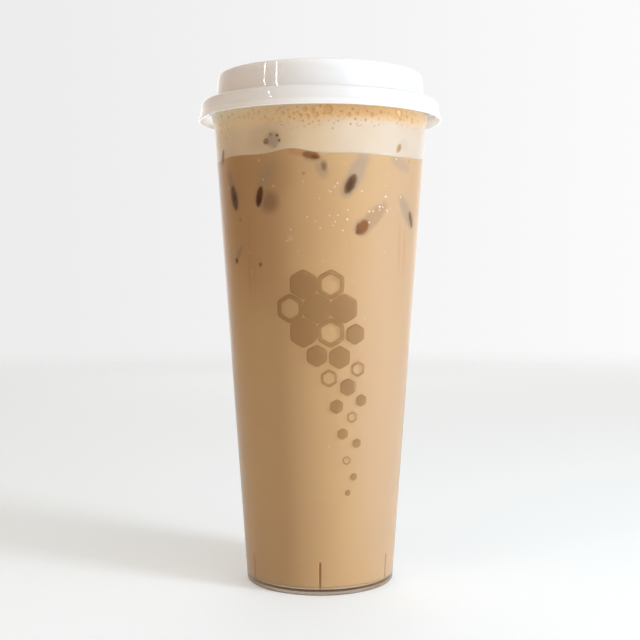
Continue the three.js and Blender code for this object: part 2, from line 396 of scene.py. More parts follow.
# Small, clearly cut dark spots: clear flecks of ice and drops of tea.
DARK_SPOTS = [
    (17.6, 156.6, 14.7, 152.4, 1.1, 0.75, (0.085, 0.034, 0.01), 0.95),
    (22.4, 138.6, 20.6, 136.6, 0.95, 0.6, (0.163, 0.066, 0.023), 0.85),
    (21.6, 140.8, 20.2, 138.6, 0.3, 0.3, BLACK, 0.55),
    (25.4, 141.6, 23.4, 140.8, 0.6, 0.5, (0.255, 0.094, 0.023), 0.7),
    (-55.4, 151.5, -55.2, 150.1, 0.55, 0.3, BLACK, 0.95), (-8.5, 158.8, -8.8, 158, 0.5, 0.4, SLATE, 0.6),
    (-56.8, 127.9, -57.8, 126.1, 0.95, 0.45, BLACK, 0.9),
    (-36.2, 126.1, -36.4, 124.9, 0.75, 0.4, SLATE, 0.9), (-46.5, 93.4, -46.7, 92, 0.6, 0.35, SLATE, 0.6),
    (-50.6, 142.8, -50.8, 142, 0.45, 0.25, UMBER, 0.85), (-4.4, 164.6, -1.3, 164, 0.75, 0.4, COFFEE, 0.7),
    (-34.9, 150.6, -35.6, 147.8, 0.7, 0.4, BLACK, 0.6), (56.2, 165.2, 56.6, 163.8, 0.4, 0.3, UMBER, 0.6),
    (132, 143.4, 132.6, 139.6, 0.7, 0.3, BLACK, 0.85), (158.8, 154.8, 156.2, 151.8, 1, 0.45, BLACK, 0.85),
    (205.8, 156.8, 204, 153.4, 0.75, 0.3, BLACK, 0.85), (170, 121, 170.6, 119.6, 0.55, 0.3, SLATE, 0.85),
    (236, 112, 236.4, 110.8, 0.5, 0.3, SLATE, 0.8),
]
HALO_WIDTH, HALO_COVER, EDGE_COVER = 1.1, 0.75, 0.97
EDGE_WAVE = 0.05 * MM
MARKED_DEPTH = 46 * MM
RIB_CLEARANCE, RIB_LIFT = 0.12 * MM, 0.1 * MM


def drink_marks():
    """Every mark on the drink from the bottom layer up: painted light and shade, veils, drops and streaks,
    a milky halo round each edge of ice, the dark edges themselves and the spots."""
    halos = []
    for a0, z0, a1, z1, half, _, _ in ICE_EDGES:
        halos.append((a0, z0, a1, z1, half + HALO_WIDTH, HALO_WIDTH, HALO, HALO_COVER))
    edges = [(*edge, EDGE_COVER) for edge in ICE_EDGES]
    return PAINTED_LIGHT_AND_SHADE + MILK_VEILS + DROPS_AND_STREAKS + halos + edges + DARK_SPOTS


def painted(angle, height, marks):
    """Colour and cover of soft ovals at points of the wall. With u and v the distances from the middle
    along and across the oval and q = |(u / long, v / wide)|, the distance from its edge is about
    q (q - 1) / |(u / long squared, v / wide squared)|, with small waves."""
    colour = np.zeros(angle.shape + (3,))
    cover = np.zeros(angle.shape)
    wave = EDGE_WAVE * (np.sin(angle * 97 + height / MM * 1.3) + np.sin(height / MM * 2.9 - angle * 61))
    for a0, z0, a1, z1, half, soft, tone, strength in marks:
        around = angle_from(angle, np.radians((a0 + a1) / 2)) * inner_radius(height)
        above = height - (z0 + z1) * MM / 2
        reach = np.array([np.radians(a1 - a0) * inner_radius(z0 * MM), (z1 - z0) * MM]) / 2
        length = np.hypot(*reach)
        u = (around * reach[0] + above * reach[1]) / length
        v = (around * reach[1] - above * reach[0]) / length
        length, width = max(length, half * MM), half * MM
        q = np.hypot(u / length, v / width)
        outside = q * (q - 1) / np.maximum(np.hypot(u / length ** 2, v / width ** 2), 1) + wave
        layer = strength * (1 - smoothstep(-soft * MM, soft * MM, outside))
        colour = colour * (1 - layer[..., None]) + np.array(tone) * layer[..., None]
        cover = cover + layer * (1 - cover)
    return np.concatenate([colour / np.maximum(cover, 1e-6)[..., None], cover[..., None]], -1)


def give_marks(piece, values):
    """Stores colour and cover as one colour attribute; the two points on the axis have none."""
    values = np.concatenate([values[1:-1].reshape(-1, 4), np.zeros((2, 4))])
    piece.data.attributes.new("wall_marks", "FLOAT_COLOR", "POINT").data.foreach_set("color", values.ravel())


def tea_finish():
    """Milky tea: soft, with faint clouds and streaks, darker where ice presses on the wall; its marks also
    hold painted light and shade.
    """
    finish = Finish("milky_drink", **{
        "Roughness": 0.45, "Subsurface Weight": 0.1, "Subsurface Radius": (1.0, 0.6, 0.35),
        "Subsurface Scale": 2 * MM, "Specular IOR Level": 0.1,
    })
    clouds = finish.noise(38, 3, (1, 1, 0.5)).between(0.3, 0.7)
    blush = finish.noise(62, 2, (0.7, 0.7, 1)).between(0.45, 0.75)
    streaks = finish.noise(420, 2, (1, 1, 0.04)).between(0.35, 0.75)
    colour = finish.mix(clouds * 0.5, (*TEA_COLOUR, 1), (0.594, 0.394, 0.179, 1))
    colour = finish.mix(blush * 0.4, colour, (0.581, 0.351, 0.191, 1))
    colour = finish.mix(streaks * 0.08, colour, (0.617, 0.411, 0.237, 1))
    # The marks hold painted light and shade as well as the ice, drops and streaks.
    marks = finish.attribute("wall_marks", "Color")
    cover = finish.attribute("wall_marks", "Alpha")
    finish.set("Base Color", finish.mix(cover, colour, marks))
    return finish.material


def build_tea():
    bottom = FLOOR_TOP - WETTED
    edge = inner_radius(bottom) + WETTED
    plain = TEA_LEVEL - MARKED_DEPTH
    angle = ribbed_angles(TEA_COLUMNS)
    side = np.concatenate([
        np.linspace(bottom + 0.6 * MM, RIB_TOP - 2 * MM, 8),
        np.linspace(RIB_TOP - 1.5 * MM, RIB_TOP + 1 * MM, 8),
        np.linspace(RIB_TOP + 5 * MM, plain, 18),
    ])
    share = np.linspace(0, 1, 95)[1:, None]
    top = tea_level(angle)
    height = np.concatenate([np.repeat(side[:, None], len(angle), 1), plain + (top - plain) * share])
    radius = inner_radius(height) + WETTED
    radius = radius - RIB_DEPTH * rib_mask(angle, -RIB_CLEARANCE) * rib_height(height + RIB_LIFT)
    lower = np.array([0, 0.3, 0.6, 0.9, 0.955])[:, None] * edge + 0 * angle
    upper = np.array([0.985, 0.95, 0.85, 0.7, 0.5, 0.25, 0])[:, None]
    inwards = inner_radius(TEA_LEVEL) * upper + 0 * angle
    sunk = TEA_LEVEL + (top - TEA_LEVEL) * upper ** 2
    radius = np.concatenate([lower, radius, inwards])
    height = np.concatenate([np.full(lower.shape, bottom), height, sunk])
    piece = turned_piece("tea_body", radius, height, angle, tea_finish(), "milk_tea")
    give_marks(piece, painted(angle + 0 * height, height, drink_marks()))
    return piece


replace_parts(build_tea(), "milk_tea")

# Ice
# Blocks of melted-down ice that float in the tea, each with one rounded edge against the wall, under a
# film of milk that is thin and dark there. Opaque tea and foam hide the rest: some blocks reach up into
# the foam, and neighbours cross each other further in.
ICE_FILM = 0.05 * MM
ICE_COLUMNS, ICE_ROWS = 96, 64
ICE_HALF_SIZES = [(11.0, 10.5, 12.0), (9.5, 10.0, 12.0), (10.5, 11.0, 12.5), (11.5, 11.0, 11.5)]
ICE_GAP = 21.0
MELT = 0.025


def ice_finish():
    """Clear ice backed by dark tea, with a few pale cracks."""
    finish = Finish("clear_ice", **{"Roughness": 0.12, "Coat Weight": 0.4, "Specular IOR Level": 0.35})
    depth = finish.noise(260, 3).between(0.35, 0.7)
    finish.set("Base Color", finish.mix(depth, (0.055, 0.026, 0.010, 1), (0.20, 0.090, 0.030, 1)))
    return finish.material


def build_ice_block(index, edge, material):
    """A rounded box: along each direction d its reach is (sum of |d|^5) to the power -1/5, times its
    half sizes, plus slow waves of melt. It is turned so that one long edge lies along the mark."""
    a0, z0, a1, z1 = edge[:4]
    size = ICE_HALF_SIZES[index % len(ICE_HALF_SIZES)]
    height = (z0 + z1) * MM / 2
    place = np.radians((a0 + a1) / 2)
    tilt = np.arctan2(np.radians(a0 - a1) * inner_radius(height), (z0 - z1) * MM)
    u = np.linspace(0, np.pi, ICE_ROWS)[:, None]
    v = (np.arange(ICE_COLUMNS) * 2 * np.pi / ICE_COLUMNS)[None, :]
    d = np.stack(np.broadcast_arrays(np.sin(u) * np.cos(v), np.sin(u) * np.sin(v), np.cos(u)), -1)
    reach = np.sum(abs(d) ** 5, axis=-1) ** -0.2
    waves = np.sin(3.1 * d[..., 0] + index) * np.cos(2.3 * d[..., 1] - index) * np.sin(2.7 * d[..., 2])
    melt = 1 + MELT * waves
    local = d * (reach * melt)[..., None] * np.array(size) * MM
    quarter = np.radians(45)
    across = np.array([np.cos(place), np.sin(place), 0.0])
    outward = np.array([np.sin(place), -np.cos(place), 0.0])
    upward = np.array([0.0, 0.0, 1.0])
    along = upward * np.cos(tilt) + across * np.sin(tilt)
    beside = across * np.cos(tilt) - upward * np.sin(tilt)
    first = outward * np.cos(quarter) + beside * np.sin(quarter)
    second = beside * np.cos(quarter) - outward * np.sin(quarter)
    points = local @ np.stack([first, second, along]) + upward * height
    skin = inner_radius(points[..., 2]) + WETTED - ICE_FILM
    aside = points @ across
    points = points + outward * np.min(np.sqrt(skin ** 2 - aside ** 2) - points @ outward)
    points, faces = closed_skin(points)
    return make_piece("ice_block_%d" % index, points, [block[:, ::-1] for block in faces], material, "ice")


def build_ice():
    """One block for each dark edge that is at least ICE_GAP from the blocks before it."""
    material = ice_finish()
    placed = []
    for edge in ICE_EDGES:
        angle, height = np.radians((edge[0] + edge[2]) / 2), (edge[1] + edge[3]) / 2
        around = inner_radius(height * MM) / MM
        if all(np.hypot(angle_from(angle, a) * around, height - z) > ICE_GAP for a, z in placed):
            build_ice_block(len(placed), edge, material)
            placed.append((angle, height))


build_ice()

# Wall bubbles
# Tiny air bubbles caught between the drink and the cup, most of them in the upper part. Each one is a
# pale flat dome that stands in the plastic's inner skin.
WALL_SEED = 11
WALL_BUBBLE_COUNT = 520
WALL_BUBBLE_LOW, WALL_BUBBLE_SPAN = 6 * MM, 158 * MM
DOME_COLUMNS, DOME_ROWS = 12, 4
DOME_LIFT, DOME_RISE = 0.02 * MM, 0.25
SEEN_BUBBLES = [
    (9.3, 154.9, 0.26), (7.9, 153.6, 0.22), (5.6, 151.8, 0.22), (15, 141.9, 0.34), (9.8, 143.3, 0.2),
    (12.6, 137.8, 0.26), (15.1, 145.3, 0.2), (5.2, 143.2, 0.18), (8.4, 141, 0.2), (7.3, 139.6, 0.18),
    (50.4, 150.9, 0.3), (23, 152.3, 0.22), (44.9, 164.8, 0.3), (-31.7, 156.7, 0.2), (-25.7, 154.2, 0.2),
    (-61.4, 155.1, 0.26), (-7, 142.7, 0.2), (0.1, 138.6, 0.2), (27.9, 144.9, 0.3), (30.3, 145.1, 0.26),
    (34.5, 146.8, 0.38), (36.6, 146.8, 0.26), (34.4, 145.6, 0.2), (39.3, 145.8, 0.24), (40.2, 145.2, 0.24),
    (38.3, 150.6, 0.36), (28, 140.9, 0.26),
]


def bubble_finish():
    """Air under a film of milk: pale and a little glossy."""
    constants = {"Base Color": (0.93, 0.88, 0.80, 1), "Roughness": 0.35, "Alpha": 0.9}
    return Finish("pale_bubble", **constants).material


def build_wall_bubbles():
    """Domes on a grid of rings: at share s from its middle, each is sqrt(1 - s squared) of its rise."""
    draw = np.random.default_rng(WALL_SEED)
    angle = draw.uniform(-np.pi, np.pi, WALL_BUBBLE_COUNT)
    height = WALL_BUBBLE_LOW + WALL_BUBBLE_SPAN * draw.uniform(0, 1, WALL_BUBBLE_COUNT) ** 0.45
    half = (0.07 + 0.14 * draw.uniform(0, 1, WALL_BUBBLE_COUNT) ** 3) * MM
    seen = np.array(SEEN_BUBBLES)
    angle = np.concatenate([np.radians(seen[:, 0]), angle])
    height = np.concatenate([seen[:, 1] * MM, height])
    half = np.concatenate([seen[:, 2] * 1.1 * MM, half])
    share = np.linspace(1, 0.2, DOME_ROWS)[:, None]
    turn_by = (np.arange(DOME_COLUMNS) * 2 * np.pi / DOME_COLUMNS)[None, :]
    half = half[:, None, None]
    z = height[:, None, None] + half * share * np.sin(turn_by)
    a = angle[:, None, None] + half * share * np.cos(turn_by) / inner_radius(z)
    rise = DOME_LIFT + DOME_RISE * half * np.sqrt(1 - share ** 2)
    skin = turn(inner_radius(z) + WETTED + rise, z, a).reshape(len(angle), -1, 3)
    wall = inner_radius(height) + WETTED
    tip = turn(wall + DOME_LIFT + DOME_RISE * half[:, 0, 0], height, angle)[:, None]
    foot = turn(wall - DOME_LIFT, height, angle)[:, None]
    points = np.concatenate([skin, tip, foot], axis=1)
    count = points.shape[1]
    ring = np.arange(DOME_COLUMNS)
    top = fan(count - 2, ring + (DOME_ROWS - 1) * DOME_COLUMNS)
    under = fan(count - 1, ring)[:, ::-1]
    first = (np.arange(len(points)) * count)[:, None, None]
    blocks = (ring_faces(DOME_ROWS, DOME_COLUMNS), top, under)
    faces = [(block[None] + first).reshape(-1, block.shape[1]) for block in blocks]
    return make_piece("wall_bubbles", points.reshape(-1, 3), faces, bubble_finish(), "milk_foam")


build_wall_bubbles()

# Milk foam
# The cream layer on the tea, of whipped milk. At the top, tan froth stands against the wall under the
# lid: bubbles from half a millimetre to four millimetres across, each one a shallow hollow in the foam.
FOAM_COLUMNS = 900
FOAM_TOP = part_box("milk_foam")[1].z
FOAM_LAP = 0.12 * MM
FROTH_SEED = 7
HOLLOW_DEPTH = 0.22 * MM
# Half widths in millimetres and how many of each are tried; those under FINE crowd low in the froth.
BUBBLE_SIZES = ((1.6, 3), (0.85, 40), (0.6, 110), (0.38, 260), (0.22, 620))
FINE, LISTED_MIDDLE, LISTED_REACH, LISTED_SIZE = 0.5, np.radians(-5), np.radians(46), 0.3
FRONT_BUBBLES = [
    (3.9, 181.4, 1.8), (-19.1, 180.3, 0.68), (-33, 181.5, 0.58), (-29.3, 179.3, 0.54), (-42.6, 180.2, 0.54),
    (-39.5, 181.1, 0.58), (-35.7, 180.9, 0.47), (-15.7, 178.7, 0.54), (-13.5, 179.9, 0.61),
    (-13.2, 178.1, 0.4), (-10, 179.2, 0.68), (-7.7, 181.4, 0.94), (-6.5, 178.8, 0.86), (-8.8, 177.2, 0.43),
    (-5.6, 176.1, 0.36), (-3.8, 181.1, 0.86), (-3.7, 176.8, 0.36), (-2, 179.4, 0.97), (2, 179.8, 0.47),
    (-0.7, 177.2, 0.32), (10.5, 180.8, 0.4), (14.8, 179.6, 0.76), (19.1, 180.2, 0.61), (18, 178.2, 0.4),
    (23.7, 178, 0.47), (15.5, 176.3, 0.43), (27.3, 180.2, 0.79), (32.3, 181.3, 0.72), (37.2, 181.4, 0.5),
    (31.3, 178.7, 0.36), (6.9, 176.4, 0.25), (6.4, 174.6, 0.29), (9, 177.2, 0.25), (4.3, 177.3, 0.25),
    (-0.2, 175.8, 0.25), (-8.3, 175.3, 0.25), (-21.1, 178.4, 0.32), (-24.8, 178.3, 0.32),
    (-27.6, 178.5, 0.29), (-37, 179.3, 0.36), (-31.6, 178.7, 0.29), (-11.1, 180.4, 0.43),
    (-16.3, 181.3, 0.43), (-16.3, 179.8, 0.32), (-11, 177.4, 0.22), (-17.2, 177.6, 0.22),
    (-36.5, 177.4, 0.22), (-23.3, 176.4, 0.22), (-21, 177.2, 0.22), (20, 175.6, 0.25), (21.2, 177.8, 0.22),
    (38.3, 178.6, 0.22), (-0.1, 182.4, 0.47), (-11.5, 182.4, 0.36), (-20.8, 182.2, 0.5),
    (-22.2, 181.6, 0.43), (16.5, 181.7, 0.47), (24.2, 181.4, 0.43), (-28.3, 181.9, 0.32),
    (-36.2, 182.5, 0.54), (-46.5, 180.5, 0.5),
]
# Ice that shows through the foam, in the same form as the marks on the drink.
COOL_MILK, PALE_MILK = (0.425, 0.327, 0.239), (0.579, 0.472, 0.367)
FOAM_MARKS = [
    (-40, 170.5, -14, 172, 5, 4, (0.6, 0.418, 0.239), 0.45),
    (-28, 170.4, -22.2, 171.6, 2.8, 1.3, COOL_MILK, 0.85),
    (-29.7, 170.6, -28.7, 170.3, 1.1, 0.4, (0.276, 0.144, 0.054), 0.9),
    (-29.5, 170.7, -29, 170.6, 0.4, 0.3, (0.475, 0.308, 0.151), 0.7),
    (-22.6, 172.7, -22.5, 172.1, 0.48, 0.28, BLACK, 0.9),
    (-21.6, 170.9, -21.5, 170.2, 0.48, 0.28, BLACK, 0.85), (-26.6, 173, -26, 172.8, 0.4, 0.3, SLATE, 0.75),
    (-24.6, 168.6, -24, 168.2, 0.35, 0.3, SLATE, 0.45), (48, 172.2, 53.6, 168.6, 2.3, 1.4, PALE_MILK, 0.75),
    (47.8, 170.4, 45.4, 167.4, 1.05, 0.6, (0.406, 0.227, 0.097), 0.95),
    (-64.6, 169.6, -68.4, 164, 1.2, 0.5, SLATE, 0.75), (112, 171.2, 118, 172.4, 2.4, 1.2, COOL_MILK, 0.8),
    (113.5, 171.6, 113.5, 171, 0.38, 0.25, BLACK, 0.8), (196, 170.3, 203, 171, 2.2, 1.2, COOL_MILK, 0.8),
    (199, 170.9, 197.6, 169.4, 0.85, 0.45, (0.465, 0.267, 0.117), 0.85),
    (244, 172.3, 244.6, 171.5, 0.5, 0.3, SLATE, 0.75),
]


def froth_foot(angle):
    """Lower edge of the froth: it dips at the front left and rises to the right."""
    return 177.4 * MM + 1.5 * MM * np.sin(angle - 0.35) + 0.5 * MM * np.sin(3 * angle + 1)


def bubbles():
    """Places and half sizes of the bubbles: angle, height and half width in metres. Those of the front
    are listed; the rest are many small ones low in the band and fewer large ones close under the lid,
    none overlapping a larger one."""
    draw = np.random.default_rng(FROTH_SEED)
    kept = [(np.radians(a), z * MM, half * MM) for a, z, half in FRONT_BUBBLES]
    for size, count in BUBBLE_SIZES:
        for _ in range(count):
            angle = draw.uniform(-np.pi, np.pi)
            half = size * draw.uniform(0.75, 1.15) * MM
            foot = froth_foot(angle) - (2.6 * MM if size < FINE else -0.4 * MM)
            height = foot + (FOAM_TOP - half - foot) * draw.uniform(0, 1) ** (0.8 if size < FINE else 1.0)
            listed = abs(angle_from(angle, LISTED_MIDDLE)) < LISTED_REACH
            others = np.array(kept)
            gap = np.hypot(angle_from(others[:, 0], angle) * inner_radius(height), others[:, 1] - height)
            if np.all(gap > others[:, 2] + half * 1.05) and not (listed and size > LISTED_SIZE):
                kept.append((angle, height, half))
    return kept


def foam_finish():
    """Milk foam: cream, tanner in the froth under the lid, with fine pores; bubbles are brown hollows with
    a darker outline, their hollows darkened as painted shade. The attributes pale, side and white are
    painted
    light: lighter on the left, lighter froth at the right edge, and whiter cream on the lit right side."""
    finish = Finish("whipped_milk", **{
        "Roughness": 0.5, "Subsurface Weight": 0.12, "Subsurface Radius": (1.0, 0.8, 0.6),
        "Subsurface Scale": 1.5 * MM, "Specular IOR Level": 0.1,
    })
    clouds = finish.noise(60, 4, (1, 1, 1.4)).between(0.3, 0.72)
    grain = finish.noise(900, 2).between(0.4, 0.7)
    pores = finish.noise(1700, 2).between(0.60, 0.72)
    froth, painted_left_light, side = finish.attribute("froth"), finish.attribute("pale"), finish.attribute("side")
    # Painted light: the cream is lighter on the left and whiter on the lit right side.
    cream = finish.mix(finish.attribute("white"), (0.642, 0.479, 0.291, 1), (0.641, 0.533, 0.431, 1))
    cream = finish.mix(painted_left_light, cream, (0.885, 0.748, 0.556, 1))
    dull = finish.mix(painted_left_light, (0.590, 0.421, 0.260, 1), (0.800, 0.592, 0.370, 1))
    # Painted light: the froth and its dark flecks are lighter on the left and at the right edge.
    tan = finish.mix(side, (0.680, 0.385, 0.145, 1), (0.988, 0.855, 0.600, 1))
    dark = finish.mix(side, (0.535, 0.225, 0.055, 1), (0.970, 0.720, 0.340, 1))
    colour = finish.mix(clouds * 0.35, cream, dull)
    colour = finish.mix(froth, colour, tan)
    colour = finish.mix(grain * froth * 0.15, colour, dark)
    colour = finish.mix(pores * (froth * 0.5 + 0.06), colour, dark)
    # Painted shade: each bubble's hollow is darker.
    colour = finish.mix(finish.attribute("hollow") * 0.75, colour, dark)
    rind = finish.mix(side, (0.286, 0.108, 0.024, 1), (0.900, 0.500, 0.160, 1))
    colour = finish.mix(finish.attribute("film") * 0.45, colour, rind)
    marks = finish.attribute("wall_marks", "Color")
    finish.set("Base Color", finish.mix(finish.attribute("wall_marks", "Alpha"), colour, marks))
    return finish.material


def build_foam():
    angle = np.arange(FOAM_COLUMNS) * 2 * np.pi / FOAM_COLUMNS
    line_z = tea_level(angle) - FOAM_LAP
    share = np.linspace(0, 1, 72)[:, None]
    height = line_z + (FOAM_TOP - line_z) * share
    radius = inner_radius(height) + WETTED + 0.01 * MM
    # hollow is each bubble's hollow, which the finish darkens as painted shade.
    hollow = np.zeros(height.shape)
    film = np.zeros(height.shape)
    for at, z, half in bubbles():
        near = np.hypot(angle_from(angle, at) * inner_radius(z), height - z) / half
        inside = 1 - smoothstep(0.8, 1.15, near)
        hollow = np.maximum(hollow, inside)
        outline = 1 - smoothstep(0, min(0.5, 0.16 * MM / half), abs(near - 0.95))
        film = np.maximum(film, outline * min(1, half / (0.5 * MM)))
        radius = radius - np.sqrt(np.clip(1 - near ** 2, 0, 1)) * min(half, HOLLOW_DEPTH)
    froth = smoothstep(-1.2 * MM, 2.6 * MM, height - froth_foot(angle)) * 0.85
    # Painted light: pale lightens the foam on the left, side lightens the froth on the left and at the
    # right edge, and white makes the cream whiter on the lit right side.
    pale = (0.5 + 0.5 * np.cos(angle + np.radians(75))) ** 3 + 0 * height
    side = np.maximum(pale, 0.40 * (0.5 + 0.5 * np.cos(angle - np.radians(80))) ** 6)
    turned = np.degrees(angle_from(angle, 0)) + 0 * height
    white = smoothstep(-4, 18, turned) * (1 - smoothstep(110, 160, turned))
    under = np.array([0, 0.3, 0.6, 0.85, 0.97])[:, None]
    over = np.array([0.975, 0.93, 0.8, 0.6, 0.4, 0.2, 0])[:, None]
    bottom = TEA_LEVEL + (line_z - TEA_LEVEL) * under ** 2
    swell = 0.25 * MM * np.sin(5 * angle + 9 * over) * over * (1 - over) * 4
    top = FOAM_TOP - 0.3 * MM - 0.3 * MM * np.cos(over * 4) + swell
    radius = np.concatenate([inner_radius(TEA_LEVEL) * under + 0 * angle, radius,
                             inner_radius(FOAM_TOP) * over + 0 * angle])
    height = np.concatenate([bottom, height, top])
    piece = turned_piece("foam_layer", radius, height, angle, foam_finish(), "milk_foam")
    give_marks(piece, painted(angle + 0 * height, height, FOAM_MARKS))
    tones = {"froth": froth, "hollow": hollow, "film": film, "pale": pale, "side": side, "white": white}
    for name, values in tones.items():
        padded = np.zeros(height.shape)
        padded[len(under):len(under) + len(values)] = values
        stored = np.concatenate([padded[1:-1].ravel(), [0, 0]])
        piece.data.attributes.new(name, "FLOAT", "POINT").data.foreach_set("value", stored)
    return piece


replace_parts(build_foam(), "milk_foam")

# Lid
# Opaque white plastic, pressed over the cup's rim: a raised cap with a sunken panel, a ledge, and a
# skirt that flares to a rolled lip. It is glossy and lets a little light soak in.
lid_low, lid_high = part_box("lid")
LID_WALL = 0.8 * MM
LID_TOP = lid_high.z
CAP_TOP_RADIUS = 40.4 * MM
CAP_FOOT_RADIUS = 41.4 * MM
CREST_WIDTH = 2.3 * MM
CREST_ROUND = 0.8 * MM
PANEL_DEPTH = 1.8 * MM
STEP_RADIUS = 29.0 * MM
STEP_DROP = 0.4 * MM
LEDGE_TOP = 189.5 * MM
LEDGE_ROUND = 1.6 * MM
SKIRT_TOP_RADIUS = 47.04 * MM
SKIRT_FOOT_RADIUS = 47.24 * MM
SKIRT_FOOT = 185.2 * MM
LIP_RADIUS = lid_high.x
LIP_BOTTOM = lid_low.z
LIP_HEIGHT = 0.5 * MM
LID_COLUMNS = 256


def lid_finish():
    """Glossy white plastic with a very faint orange peel, a little greyer on the skirt than on the cap as a
    painted shade, and lighter on the flared foot as painted light.
    """
    finish = Finish("white_plastic", **{
        "Roughness": 0.045, "IOR": 1.5, "Subsurface Weight": 0.8, "Subsurface Radius": (1.0, 0.95, 0.85),
        "Subsurface Scale": 3 * MM,
    })
    tone = finish.noise(25, 2)
    # Painted shade: the skirt below the ledge is greyer.
    skirt = 1 - finish.height().between(LEDGE_TOP - 1.0 * MM, LEDGE_TOP)
    # Painted light: the flared foot and lip are lighter.
    flare_light = 1 - finish.height().between(SKIRT_FOOT - 1.2 * MM, SKIRT_FOOT)
    white = finish.mix(tone, (0.815, 0.804, 0.793, 1), (0.84, 0.829, 0.818, 1))
    white = finish.mix(skirt, white, (0.79, 0.782, 0.770, 1))
    finish.set("Base Color", finish.mix(flare_light, white, (0.865, 0.858, 0.845, 1)))
    finish.relief(finish.noise(350, 2), 0.012 * MM)
    finish.lets_lamps_through((0.96, 0.92, 0.86, 1), 0.92)
    return finish.material


def build_lid():
    panel_top = LID_TOP - PANEL_DEPTH
    panel_under = panel_top - LID_WALL
    crest_inner = CAP_TOP_RADIUS - CREST_WIDTH
    step = STEP_RADIUS + STEP_DROP
    inner_round = LEDGE_ROUND - LID_WALL
    corner_r, corner_z = SKIRT_TOP_RADIUS - LEDGE_ROUND, LEDGE_TOP - LEDGE_ROUND
    bead = LIP_HEIGHT / 2
    lip_top = (LIP_RADIUS - bead * 0.8, LIP_BOTTOM + 2.4 * bead)
    flare_top = (SKIRT_FOOT_RADIUS + 0.25 * MM, SKIRT_FOOT - 0.6 * MM)
    foot_of_cap = (CAP_FOOT_RADIUS - 0.05 * MM, LEDGE_TOP + 1.1 * LID_WALL)
    under_ledge = (CAP_FOOT_RADIUS - LID_WALL, LEDGE_TOP - LID_WALL)
    profile = np.concatenate([
        line((0, panel_under - STEP_DROP), (STEP_RADIUS, panel_under - STEP_DROP), 4),
        line((STEP_RADIUS, panel_under - STEP_DROP), (step, panel_under), 3),
        line((step, panel_under), (CAP_TOP_RADIUS - LID_WALL, panel_under), 4),
        line((CAP_TOP_RADIUS - LID_WALL, panel_under), under_ledge, 8),
        arc(corner_r, corner_z, inner_round, 90, 0, 6),
        line((SKIRT_TOP_RADIUS - LID_WALL, corner_z), (SKIRT_FOOT_RADIUS - LID_WALL, SKIRT_FOOT), 4),
        line((SKIRT_FOOT_RADIUS - LID_WALL, SKIRT_FOOT), (LIP_RADIUS - LID_WALL, LIP_BOTTOM + bead), 6),
        arc(LIP_RADIUS - LID_WALL + bead, LIP_BOTTOM + bead, bead, 180, 270, 4),
        arc(LIP_RADIUS - bead, LIP_BOTTOM + bead, bead, -90, 70, 8),
        line(lip_top, flare_top, 5),
        line(flare_top, (SKIRT_FOOT_RADIUS, SKIRT_FOOT), 2),
        line((SKIRT_FOOT_RADIUS, SKIRT_FOOT + 0.1 * MM), (SKIRT_TOP_RADIUS, corner_z), 4),
        arc(corner_r, corner_z, LEDGE_ROUND, 0, 90, 12),
        line((corner_r - 0.2 * MM, LEDGE_TOP), (CAP_FOOT_RADIUS + LID_WALL, LEDGE_TOP), 4),
        arc(CAP_FOOT_RADIUS + LID_WALL, LEDGE_TOP + LID_WALL, LID_WALL, 270, 184, 6),
        line(foot_of_cap, (CAP_TOP_RADIUS, LID_TOP - CREST_ROUND), 10),
        arc(CAP_TOP_RADIUS - CREST_ROUND, LID_TOP - CREST_ROUND, CREST_ROUND, 0, 90, 8),
        arc(crest_inner + CREST_ROUND, LID_TOP - CREST_ROUND, CREST_ROUND, 90, 180, 8),
        arc(crest_inner - 0.5 * MM, panel_top + 0.5 * MM, 0.5 * MM, 0, -90, 4),
        line((crest_inner - 1 * MM, panel_top), (step, panel_top), 4),
        line((step, panel_top), (STEP_RADIUS, panel_top - STEP_DROP), 3),
        line((STEP_RADIUS, panel_top - STEP_DROP), (0, panel_top - STEP_DROP), 6),
        [(0, panel_top - STEP_DROP)],
    ])
    angle = np.arange(LID_COLUMNS) * 2 * np.pi / LID_COLUMNS
    radius = np.repeat(profile[:, :1], LID_COLUMNS, axis=1)
    height = np.repeat(profile[:, 1:], LID_COLUMNS, axis=1)
    return turned_piece("lid_cap", radius, height, angle, lid_finish(), "lid_plastic")


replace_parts(build_lid(), "lid")

# Print
# A generic pattern of rounded six-sided tiles, printed on the front of the cup in see-through tan ink
# after moulding. Some tiles are only rings, and small ones trail off down to the right.
INK_BACK, INK_FRONT, INK_THICKNESS = 0.008 * MM, 0.012 * MM, 0.04 * MM
INK_ROUND, INK_LEAST = 0.12 * MM, 0.004 * MM
LINE_INSET, LINE_WIDTH, EDGE_WIDTH = 0.55 * MM, 0.16 * MM, 0.2 * MM
TILE_RINGS, TILE_COLUMNS = 14, 96
BIG = 5.6
TILES = [
    (-6.2, 118, BIG, 0), (4, 118, BIG, 1), (-11.3, 109.1, BIG, 1), (-1.1, 109.1, BIG, 0),
    (9.1, 109.1, BIG, 0), (-6.2, 100.2, BIG, 0), (4, 100.2, BIG, 1), (13.4, 99.6, 4, 0),
    (-1.2, 91.6, 4.2, 0), (7.4, 91, 4.4, 0), (14.6, 86.5, 3, 1), (3.4, 83.2, 3.4, 1), (10.6, 79.8, 3.4, 0),
    (16, 74.6, 2.4, 0), (6.2, 72.6, 2.8, 0), (12.2, 68.4, 2.2, 1), (8.6, 62.2, 2.2, 0),
    (14.2, 58.4, 1.8, 0), (10.2, 52, 1.7, 1), (13, 45.6, 1.5, 0), (10.6, 39.6, 1.2, 0),
]


